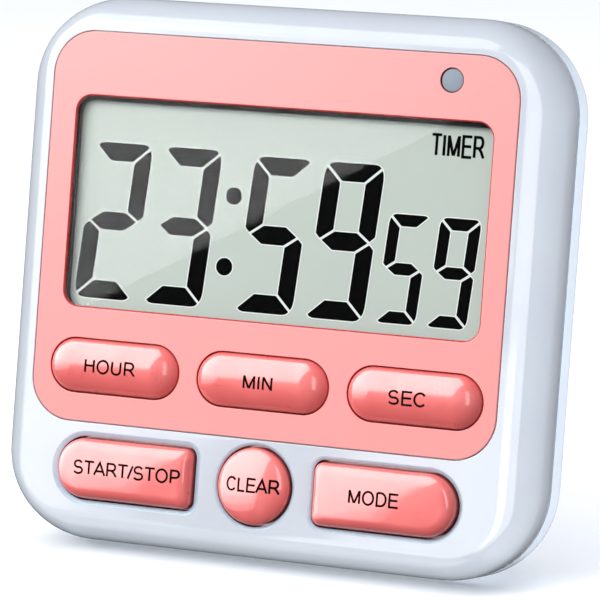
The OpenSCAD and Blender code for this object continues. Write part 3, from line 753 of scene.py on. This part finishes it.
# Each letter: its advance, then its strokes, in units of the capital height
LETTERS = {
    "H": (1.008, [[(0.177, 0), (0.177, 1)], [(0.831, 0), (0.831, 1)], [(0.177, 0.53), (0.831, 0.53)]]),
    "O": (1.087, ["loop"] + arc(0.544, 0.5, 0.42, 0.5, 0, 360, 28)[:-1]),
    "U": (1.008, [[(0.172, 1)] + arc(0.502, 0.33, 0.33, 0.33, 180, 360) + [(0.832, 1)]]),
    "R": (1.008, [[(0.177, 0), (0.177, 1)] + arc(0.57, 0.735, 0.25, 0.265, 90, -90, 10) + [(0.177, 0.47)],
                  [(0.53, 0.47), (0.72, 0.3), (0.92, 0)]]),
    "M": (1.163, [[(0.168, 0), (0.168, 1)], [(0.995, 0), (0.995, 1)], [(0.18, 0.97), (0.57, 0.03)],
                  [(0.594, 0.03), (0.983, 0.97)]]),
    "I": (0.388, [[(0.194, 0), (0.194, 1)]]),
    "N": (1.008, [[(0.17, 0), (0.17, 1)], [(0.838, 0), (0.838, 1)], [(0.18, 0.97), (0.828, 0.03)]]),
    "S": (0.931, [BOWL_S]),
    "E": (0.931, [[(0.86, 1), (0.177, 1), (0.177, 0), (0.88, 0)], [(0.177, 0.52), (0.82, 0.52)]]),
    "C": (1.008, [arc(0.53, 0.5, 0.41, 0.5, 38, 322, 22)]),
    "T": (0.853, [[(0.03, 1), (0.823, 1)], [(0.427, 1), (0.427, 0)]]),
    "A": (0.931, [[(0.03, 0), (0.465, 1), (0.90, 0)], [(0.16, 0.31), (0.77, 0.31)]]),
    "P": (0.931, [[(0.177, 0), (0.177, 1)] + arc(0.54, 0.72, 0.27, 0.28, 90, -90, 10) + [(0.177, 0.44)]]),
    "D": (1.008, [[(0.177, 1), (0.177, 0)] + arc(0.47, 0.5, 0.42, 0.5, -90, 90, 14) + [(0.177, 1)]]),
    "L": (0.777, [[(0.16, 1), (0.16, 0), (0.73, 0)]]),
    "/": (0.388, [[(0.02, -0.02), (0.368, 1.02)]]),
}


def divided(path, step):
    """A path with further points, so that it can follow a curved surface."""
    points = [path[0]]
    for a, b in zip(path, path[1:]):
        count = max(1, math.ceil(math.dist(a, b) / step))
        points += [(a[0] + (b[0] - a[0]) * i / count, a[1] + (b[1] - a[1]) * i / count)
                   for i in range(1, count + 1)]
    return points


INK_BACK = -0.05


def letters(word, middle, width, height, stroke, surface, front=0.02):
    """A word in plain capitals, centred there, lying on a surface and reaching into it."""
    solid = Solid()
    placed, advance = [], 0
    for letter in word:
        step, strokes = LETTERS[letter]
        closed = strokes[0] == "loop"
        for path in ([strokes[1:]] if closed else strokes):
            placed.append(([(advance + x, y) for x, y in path], closed))
        advance += step
    left = min(x for path, _ in placed for x, _ in path)
    right = max(x for path, _ in placed for x, _ in path)
    squeeze = (width - stroke) / (right - left)
    tall = height - stroke
    for path, closed in placed:
        path = [(middle[0] + (x - (left + right) / 2) * squeeze, middle[1] + (y - 0.5) * tall)
                for x, y in path]
        solid.ribbon(path if closed else divided(path, 0.35), stroke, front, INK_BACK, surface, closed)
    return solid


CAPS = 2.2
STROKE = 0.32
# Each label: its button, its word, its middle and its width
LABELS = [
    ("hour_button", "HOUR", (-23.78, -14.33), 8.4),
    ("minute_button", "MIN", (0.28, -14.40), 4.72),
    ("second_button", "SEC", (23.85, -14.53), 5.8),
    ("start_stop_button", "START/STOP", (-19.95, -29.48), 17.45),
    ("clear_button", "CLEAR", (0.56, -29.45), 8.5),
    ("mode_button", "MODE", (19.87, -29.45), 8.0),
]
for name, word, middle, width in LABELS:
    solid = letters(word, middle, width, CAPS, STROKE, surface(name))
    finish(name.replace("button", "label"), solid, name, None, INK)

# ---- Display ----

film_front = flat_box("lcd_polarizer")[1].z
LCD_HALO = 0.14
LCD_GAP = 0.36
SLANT = 0.08
# The fronts of the digits and of their pale edges, before the film
DARK_FRONT, PALE_FRONT = 0.03, 0.015


def shrunk(points, distance):
    """A convex outline drawn in by that distance on every side."""
    moved = []
    count = len(points)
    for i in range(count):
        a, b, c = (Vector(points[(i + k) % count]) for k in (-1, 0, 1))
        d0, d1 = (b - a).normalized(), (c - b).normalized()
        n0, n1 = Vector((-d0.y, d0.x)), Vector((-d1.y, d1.x))
        bisector = n0 + n1
        moved.append(tuple(b + bisector * distance * 2 / bisector.length_squared))
    return moved


def segments(width, height, stroke_x, stroke_y):
    """The seven bars of a digit, as outlines that meet. a to g as on any such display."""
    w, h, half = width, height, height / 2
    # How far the waist is drawn in, and how far from the waist a bar's outer side begins
    notch, ease = stroke_x * 0.3, stroke_y * 0.28
    round_x, round_y = stroke_x * 0.55, stroke_y * 0.75

    def corner(sx, sy, upright):
        """Half of a rounded outer corner, from the bar's straight side to the corner's middle."""
        cx, cy = (w if sx > 0 else 0), (h if sy > 0 else 0)
        half_turn = []
        for degrees in (0, 22.5, 45):
            angle = math.radians(90 - degrees if upright else degrees)
            half_turn.append((cx - sx * round_x * (1 - math.sin(angle)),
                              cy - sy * round_y * (1 - math.cos(angle))))
        return half_turn

    inner = {(sx, sy): ((w - stroke_x) if sx > 0 else stroke_x, (h - stroke_y) if sy > 0 else stroke_y)
             for sx in (-1, 1) for sy in (-1, 1)}
    waist = {sx: ((w - notch) if sx > 0 else notch, half) for sx in (-1, 1)}
    mid_in = {(sx, sy): ((w - stroke_x) if sx > 0 else stroke_x, half + sy * stroke_y / 2)
              for sx in (-1, 1) for sy in (-1, 1)}

    def level(sy):
        left, right = corner(-1, sy, False), corner(1, sy, False)
        return [left[2], inner[-1, sy], inner[1, sy], right[2], right[1], right[0], left[0], left[1]]

    def upright(sx, sy):
        side, turning, mid = corner(sx, sy, True)
        outside = (w if sx > 0 else 0), half + sy * ease
        return [mid, inner[sx, sy], mid_in[sx, sy], waist[sx], outside, side, turning]

    return {
        "a": level(1), "d": level(-1), "b": upright(1, 1), "c": upright(1, -1), "f": upright(-1, 1),
        "e": upright(-1, -1),
        "g": [waist[-1], mid_in[-1, -1], mid_in[1, -1], waist[1], mid_in[1, 1], mid_in[-1, 1]],
    }


BARS = {"2": "abged", "3": "abgcd", "5": "afgcd", "9": "abgfcd"}


def counterclockwise(points):
    area = sum(a[0] * b[1] - b[0] * a[1] for a, b in zip(points, points[1:] + points[:1]))
    return points if area > 0 else points[::-1]


def digit_outlines(digit, place, size, strokes):
    for bar in BARS[digit]:
        outline = segments(size[0], size[1], *strokes)[bar]
        yield counterclockwise([(place[0] + x + SLANT * y, place[1] + y) for x, y in outline])


BIG, BIG_RIGHT, SMALL = (9.95, 23.8), (9.8, 23.4), (6.7, 16.3)
BIG_STROKES, SMALL_STROKES = (3.08, 3.1), (2.12, 2.12)
BIG_LOW, SMALL_LOW = -4.55, -4.3
# Each digit: its lower left corner, its size and its strokes across and up
DIGITS = [("2", (-32.8, BIG_LOW), BIG, BIG_STROKES), ("3", (-21.4, BIG_LOW), BIG, BIG_STROKES),
          ("5", (-6.5, BIG_LOW), BIG_RIGHT, BIG_STROKES), ("9", (4.8, BIG_LOW), BIG_RIGHT, BIG_STROKES),
          ("5", (16.1, SMALL_LOW), SMALL, SMALL_STROKES), ("9", (24.0, SMALL_LOW), SMALL, SMALL_STROKES)]
DOTS = [(-7.48, 12.5), (-8.24, 1.98)]
DOT_R = 1.32

dark, pale = Solid(), Solid()
for digit, place, size, strokes in DIGITS:
    for outline in digit_outlines(digit, place, size, strokes):
        dark.prism(shrunk(outline, LCD_GAP / 2), film_front + DARK_FRONT, film_front + INK_BACK)
        pale.prism(shrunk(outline, LCD_GAP / 2 - LCD_HALO), film_front + PALE_FRONT, film_front + INK_BACK)
for x, y in DOTS:
    for solid, r, front in ((dark, DOT_R, DARK_FRONT), (pale, DOT_R + LCD_HALO, PALE_FRONT)):
        solid.prism(arc(x, y, r, r, 0, 360, 40)[:-1], film_front + front, film_front + INK_BACK)
finish("display_digits", dark, "case", None, SEGMENT)
finish("display_digit_edges", pale, "case", "lcd_film", HALO)
word = letters("TIMER", (27.2, 22.2), 8.5, 3.4, 0.43, lambda x, y: film_front, DARK_FRONT)
finish("display_word", word, "case", None, SEGMENT)

# ---- Alert light ----


def alert_window():
    """A slightly crowned grey window with a rounded rim, and a flange behind the plate."""
    solid = Solid()
    low_level, top_level = (corner.z for corner in flat_box("alert_lens"))
    crown, steps, flange, flange_top = 0.18, 8, 0.9, low_level + 0.75
    profile = []
    for i in range(steps + 1):
        share = 0.02 + 0.88 * i / steps
        profile.append((-LED_R * (1 - share), top_level - crown * share * share))
    profile += [(-0.06, top_level - 0.22), (0, top_level - 0.32), (0, flange_top), (flange, flange_top),
                (flange, low_level)]
    top, low = solid.sweep(led_line, profile)
    solid.cap(top)
    solid.cap(low)
    finish("alert_window", solid, "case", "alert_grey", ALERT, ("alert_lens",), 50)


alert_window()

# ---- Back ----

for node, edge_mm in (("rear_case", 0.15), ("battery_door", 0.12), ("kickstand", 0.2), ("power_slider", 0.12),
                      ("sound_slider", 0.12), ("left_magnet", 0.15), ("right_magnet", 0.15)):
    refined(node, edge_mm)

# ---- Stage ----


def floor_material():
    shader = Shader("floor_pale", (0.93, 0.935, 0.945), 0.75)
    shader.vary_colour(400, 0.01)
    shader.vary_roughness(60, 0.05)
    shader.bump(shader.noise(0.6), 0.03, 0.02)
    return shader.material


def pale_floor():
    data = bpy.data.meshes.new("floor")
    bm = bmesh.new()
    bmesh.ops.create_grid(bm, x_segments=8, y_segments=8, size=4)
    bm.to_mesh(data)
    bm.free()
    data.materials.append(floor_material())
    floor = bpy.data.objects.new("floor", data)
    bpy.context.scene.collection.objects.link(floor)
    # The table's own bounce would fill in the underside of every rounding
    floor.visible_diffuse = False
    floor.visible_glossy = False


def studio_sky():
    """A pale room that is brighter above than below."""
    world = bpy.data.worlds.new("studio")
    world.use_nodes = True
    tree = world.node_tree
    place = tree.nodes.new("ShaderNodeTexCoord")
    split = tree.nodes.new("ShaderNodeSeparateXYZ")
    ramp = tree.nodes.new("ShaderNodeMapRange")
    ramp.inputs["From Min"].default_value = -0.4
    ramp.inputs["From Max"].default_value = 0.4
    mix = tree.nodes.new("ShaderNodeMix")
    mix.data_type = "RGBA"
    mix.inputs[6].default_value = (0.27, 0.28, 0.30, 1)
    mix.inputs[7].default_value = (0.88, 0.92, 1.0, 1)
    tree.links.new(place.outputs["Generated"], split.inputs["Vector"])
    tree.links.new(split.outputs["Z"], ramp.inputs["Value"])
    tree.links.new(ramp.outputs["Result"], mix.inputs["Factor"])
    tree.links.new(mix.outputs[2], tree.nodes["Background"].inputs["Color"])
    tree.nodes["Background"].inputs["Strength"].default_value = 0.58
    bpy.context.scene.world = world
    bpy.context.scene.view_settings.view_transform = "Standard"


pale_floor()
studio_sky()


def lamp_at(name, centre, x, y, size_x, size_y, radiance, colour, shows, lights):
    """A rectangular light panel, from its centre and the directions of its sides, in metres in the row
    frame. shows is what it does: diffuse light, a mirror image in gloss, or both. lights names the only
    pieces that it reaches; with none named it reaches all."""
    lamp = bpy.data.lights.new(name, "AREA")
    lamp.shape = "RECTANGLE"
    lamp.size, lamp.size_y = size_x, size_y
    lamp.energy = radiance * math.pi * size_x * size_y
    lamp.color = colour
    z = x.cross(y).normalized()
    panel = bpy.data.objects.new(name, lamp)
    panel.matrix_world = Matrix.Translation(centre) @ Matrix((x, z.cross(x), z)).transposed().to_4x4()
    panel.visible_diffuse = "diffuse" in shows
    panel.visible_glossy = "gloss" in shows
    bpy.context.scene.collection.objects.link(panel)
    if lights:
        group = bpy.data.collections.new(name + "_receivers")
        for piece in lights:
            group.objects.link(bpy.data.objects[piece])
        panel.light_linking.receiver_collection = group


def softbox(name, azimuth, elevation, radiance, shows, lights=(), roll=0, colour=(1, 1, 1), distance=600):
    """A panel that covers a range of directions as seen from the middle of the timer's face, in degrees:
    azimuth to the right and elevation up from straight out of the face. roll turns it in its own plane,
    counterclockwise as the timer sees it. distance is in millimetres."""
    middle = [math.radians(sum(span) / 2) for span in (azimuth, elevation)]
    half = [math.radians((span[1] - span[0]) / 2) for span in (azimuth, elevation)]
    turn = TO_ROW.to_3x3().normalized()
    out = turn @ Vector((math.sin(middle[0]) * math.cos(middle[1]), math.sin(middle[1]),
                         math.cos(middle[0]) * math.cos(middle[1])))
    level = UP.cross(out).normalized()
    x = Matrix.Rotation(math.radians(roll), 3, out) @ level
    size = [2 * distance * MM * math.tan(angle) for angle in half]
    centre = TO_ROW.translation + out * distance * MM
    lamp_at(name, centre, x, out.cross(x), size[0], size[1], radiance, colour, shows, lights)


def slanted_box(name, corner, along, across, radiance, shows, lights):
    """A panel from its corner and two sides, given in the timer's own frame."""
    corner, along, across = (TO_ROW.to_3x3() @ Vector(p) for p in (corner, along, across))
    centre = TO_ROW.translation + corner + (along + across) / 2
    lamp_at(name, centre, along.normalized(), across.normalized(), along.length, across.length, radiance,
            (1, 1, 1), shows, lights)


REAR_SHELLS = ["rear_case_moulded", "kickstand_moulded", "battery_door_moulded"]
REAR_FITTINGS = ["left_magnet_moulded", "right_magnet_moulded", "power_slider_moulded",
                 "sound_slider_moulded"]
SHELLS = ["front_shell"] + REAR_SHELLS
SOFT, GLOSS = ("diffuse",), ("gloss",)
COOL = (0.96, 0.98, 1.0)
# The general light, and what evens it out on the shells and the back
softbox("soft_key", (-45, -5), (2, 42), 6, SOFT)
softbox("back_light", (150, 210), (-35, 15), 7, SOFT, REAR_SHELLS + REAR_FITTINGS, colour=COOL, distance=900)
softbox("shell_fill_right", (50, 110), (-35, 20), 3.0, SOFT, SHELLS, colour=COOL)
softbox("shell_fill_low", (-30, 30), (-110, -60), 4.1, SOFT, SHELLS, colour=COOL)
softbox("floor_light", (-20, 50), (50, 100), 2.3, SOFT, ["floor"], distance=1500)
# What the window mirrors, ending in a slanting line across the display
GLARE_ACROSS = (-180, 324, -220)
slanted_box("window_glare", (-362, -100, 400), (260, 144.6, 0), GLARE_ACROSS, 18, GLOSS, ["display_lens"])
# The buttons' highlights: the azimuth that each button mirrors to the camera, how far to the right of it the
# panels reach, and the elevation that they begin at. Three panels begin one above the other, so that the
# highlight fades downwards, and a narrow one at the side lights the button's right end.
KEYS = (("hour", -25.7, 3.7, -16), ("minute", -23.6, 3.7, -16), ("second", -21.5, 3.7, -16),
        ("start_stop", -25.3, 8, -29), ("clear", -23.6, 16, -34), ("mode", -21.8, 8, -34))
KEY_LEFT, KEY_TOP, KEY_STEP, KEY_RADIANCE = 75, 78, 9, 2.6
SIDE_FROM, SIDE_TO, SIDE_RADIANCE = 42, 56, 5
for name, ahead, right, low in KEYS:
    cap = [name + "_button_cap"]
    for step in range(3):
        softbox(f"{name}_key_{step}", (ahead - KEY_LEFT, ahead + right), (low + KEY_STEP * step, KEY_TOP),
                KEY_RADIANCE, GLOSS, cap)
    softbox(name + "_side", (ahead + SIDE_FROM, ahead + SIDE_TO), (-8, 32), SIDE_RADIANCE, GLOSS, cap)
softbox("plate_key", (-60, -20), (2, 50), 4, GLOSS, ["plate_skin"])
# What the case mirrors
softbox("case_top", (-64, -15), (7, 58), 3.3, GLOSS, SHELLS)
softbox("case_right", (-3, 66), (-48, 38), 3.2, GLOSS, SHELLS, roll=22)
softbox("case_left", (-62, -27), (-32, 32), 2, GLOSS, SHELLS)
softbox("case_low", (-60, -20), (-80, -30), 1.2, GLOSS, SHELLS)
softbox("case_low_right", (-21.6, 35), (-38, -3.5), 3.6, GLOSS, SHELLS)
slanted_box("window_on_case", (-362, -155.5, 400), (260, 150.8, 0), GLARE_ACROSS, 2.5, GLOSS, SHELLS)

# ---- Camera ----

camera = bpy.data.objects.new("camera", bpy.data.cameras.new("camera"))
camera.data.sensor_width = 36
camera.data.lens = 247.8
camera.data.clip_start = 0.01
# Its place in the timer's own frame, and where it looks in the row frame
camera.location = TO_ROW @ Vector((242.2, 20.24, 554))
camera.rotation_euler = Vector((-0.3930, 0.8964, -0.2050)).to_track_quat("-Z", "Y").to_euler()
bpy.context.scene.collection.objects.link(camera)
bpy.context.scene.camera = camera
